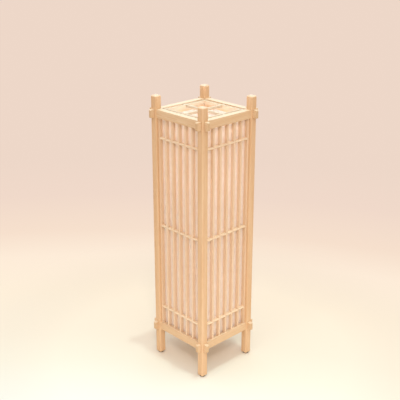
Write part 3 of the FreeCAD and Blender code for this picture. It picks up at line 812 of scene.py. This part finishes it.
# the floor's colour is a painted pool of light, brightest round the bright spot; beyond the fade the
# floor glows by itself where it is seen directly or mirrored
glow = addNode(tree, "ShaderNodeValToRGB", "painted pool of light")
glowStart, glowEnd = studio["glow"][0][0], studio["glow"][-1][0]
stops = glow.color_ramp.elements
stops[0].color = studio["glow"][0][1]
stops[1].color = studio["glow"][-1][1]
for distance, colour in studio["glow"][1:-1]:
    stops.new((distance - glowStart) / (glowEnd - glowStart)).color = colour
wire(tree, remap(tree, "glow share", fromSpot, glowStart, glowEnd, 0, 1), glow.inputs[0])
litShare = remap(tree, "lit share", fromLamp, studio["nearReach"], studio["farReach"],
                 studio["litNear"], studio["litFar"])
litColour = mixColours(tree, "lit colour", litShare, (0, 0, 0, 1), glow.outputs[0])
lit = addNode(tree, "ShaderNodeBsdfDiffuse", "lit floor", Color=litColour)
far = addNode(tree, "ShaderNodeEmission", "far floor painted glow", Color=glow.outputs[0])
fade = remap(tree, "fade", fromLamp, studio["fadeFrom"], studio["fadeTo"], 0, 1,
             interpolation_type="SMOOTHSTEP")
farAndSeen = addMaths(tree, "far and seen", "MULTIPLY", fade, seenDirectly(tree)[0])
floorShader = mixShaders(tree, "floor", farAndSeen, lit.outputs[0], far.outputs[0])
addNode(tree, "ShaderNodeOutputMaterial", "output", Surface=floorShader)
floor.data.materials.append(material)

world = bpy.data.worlds.new("studio")
bpy.context.scene.world = world
world.use_nodes = True
tree = world.node_tree
tree.nodes.clear()
heading = addNode(tree, "ShaderNodeTexCoord", "direction").outputs["Generated"]
seen, mirrored = seenDirectly(tree)
upwards = remap(tree, "towards the ceiling", upwardPart(tree, heading), *studio["ceilingFrom"], 0, 1)
ceilingShare = addMaths(tree, "mirrored ceiling", "MULTIPLY", mirrored, upwards)
wallColour = mixColours(tree, "wall to ceiling", ceilingShare, studio["wallColour"],
                        studio["ceilingColour"])
skyLight = addNode(tree, "ShaderNodeBackground", "soft light", Color=studio["skyColour"],
                   Strength=studio["skyStrength"])
wall = addNode(tree, "ShaderNodeBackground", "wall and ceiling", Color=wallColour, Strength=1.0)
worldShader = mixShaders(tree, "world", seen, skyLight.outputs[0], wall.outputs[0])
addNode(tree, "ShaderNodeOutputWorld", "output", Surface=worldShader)

lampMiddle = (0, 0, 0.4)  # where a light looks unless it says otherwise
softWhite, coolWhite, warmWhite = (1.0, 0.96, 0.92), (0.72, 0.98, 1.0), (1.0, 0.90, 0.89)
insideWhite = (0.95, 0.97, 1.12)
lights = {   # places, aims and sizes in metres, powers in watts
    "softbox": {"place": (1.98, 0.33, 7.38), "size": 4.4, "power": 43, "colour": coolWhite},
    "overheadRight": {"place": (0.92, 0.04, 8.26), "size": 0.22, "power": 122, "colour": coolWhite},
    "overhead": {"place": (0.11, 0.09, 8.26), "size": 0.22, "power": 54, "colour": coolWhite},
    "steepFront": {"place": (0.22, -4.20, 8.00), "size": 1.1, "power": 25},
    "key": {"place": (4.30, -3.85, 5.95), "size": 1.4, "power": 178, "colour": warmWhite},
    "floorBounce": {"place": (0.72, -0.72, 0.14), "size": 0.5, "power": 1.7, "aim": (0, 0, 0.10),
                    "colour": warmWhite},
    "floorBounceRight": {"place": (1.30, -0.10, 0.14), "size": 0.6, "power": 1.1, "aim": (0, 0, 0.15)},
    "underLid": {"place": (0, 0, 0.78), "size": 0.10, "power": 0.205, "aim": (0, 0, 1.0),
                 "colour": insideWhite},
    "insideGlow": {"kind": "POINT", "place": (0, 0, 0.66), "size": 0.03, "power": 0.21,
                   "colour": insideWhite},
    "insideLow": {"kind": "POINT", "place": (0, 0, 0.30), "size": 0.03, "power": 0.055},
    "backCorner": {"kind": "SPOT", "place": (0, 0, 0.74), "size": 0.02, "power": 0.22, "cone": 26,
                   "blend": 0.6, "aim": (-0.094, 0.094, 0.838), "colour": insideWhite},
}
for name, lamp in lights.items():
    kind = lamp.get("kind", "AREA")
    deselectAll()
    bpy.ops.object.light_add(type=kind, location=lamp["place"])
    light = bpy.context.object
    light.name = name
    setattr(light.data, "size" if kind == "AREA" else "shadow_soft_size", lamp["size"])
    if kind == "SPOT":
        light.data.spot_size, light.data.spot_blend = math.radians(lamp["cone"]), lamp["blend"]
    light.data.energy = lamp["power"]
    light.data.color = lamp.get("colour", softWhite)
    light.visible_camera = False  # a lamp never shows itself, only its light
    aim = Vector(lamp.get("aim", lampMiddle)) - Vector(lamp["place"])
    light.rotation_euler = aim.to_track_quat("-Z", "Y").to_euler()
print("studio done")


# camera

view = {"place": (1.6807, -1.6202, 1.4516), "pitchDown": 20.93, "heading": 46.327, "lens": 70.39}
deselectAll()
cameraTurn = (math.radians(90 - view["pitchDown"]), 0, math.radians(view["heading"]))
bpy.ops.object.camera_add(location=view["place"], rotation=cameraTurn)
camera = bpy.context.object
camera.data.lens = view["lens"]
camera.data.dof.use_dof = False
bpy.context.scene.camera = camera
bpy.context.scene.view_settings.view_transform = "Standard"

print("camera set")
